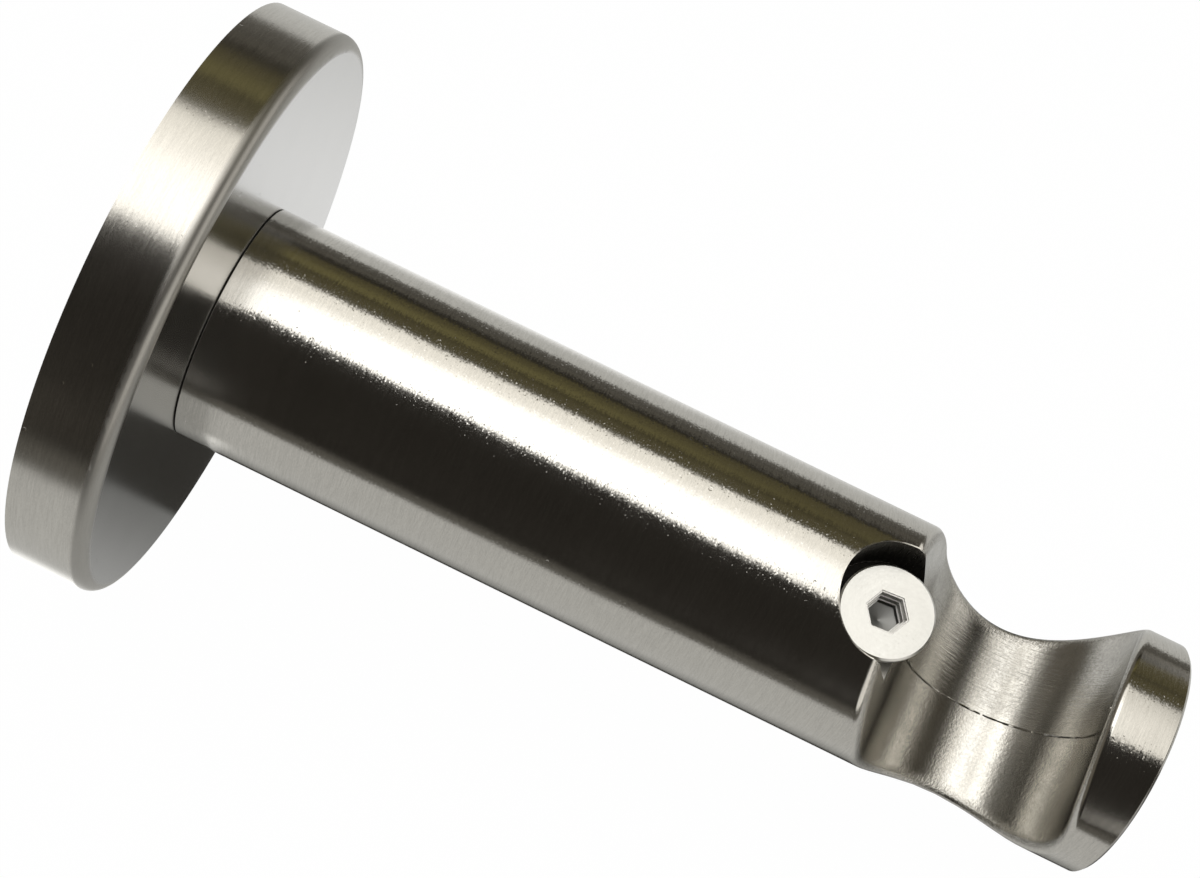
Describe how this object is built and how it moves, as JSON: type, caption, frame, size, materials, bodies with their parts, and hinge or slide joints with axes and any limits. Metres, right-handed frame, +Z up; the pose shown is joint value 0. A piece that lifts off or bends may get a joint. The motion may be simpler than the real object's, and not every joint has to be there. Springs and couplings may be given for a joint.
{
  "type": "curtain pole bracket",
  "caption": "Wall bracket with round rose and solid round arm; a curtain pole drops into its leaning U saddle and is held by a socket clamp screw.",
  "frame": {"origin": "centre of the wall screw circle on the wall face", "axes": "+Z up, +Y into the wall, arm along -Y, pole along X"},
  "size_m": [0.0612, 0.1076, 0.0612],
  "materials": {
    "satin_nickel_rose": "polished face, fine turned brushing on the rim",
    "satin_nickel_arm": "satin nickel, fine brushing round the bar",
    "nickel_screw": "bright satin nickel",
    "plated_steel": "zinc plated"
  },
  "bodies": {
    "root": {"wall_rose": "satin_nickel_rose", "fixing_plate": "plated_steel", "arm": "satin_nickel_arm", "clamp_screw": "nickel_screw", "arm_screw": "plated_steel", "grub_screw": "plated_steel"}
  },
  "joints": []
}
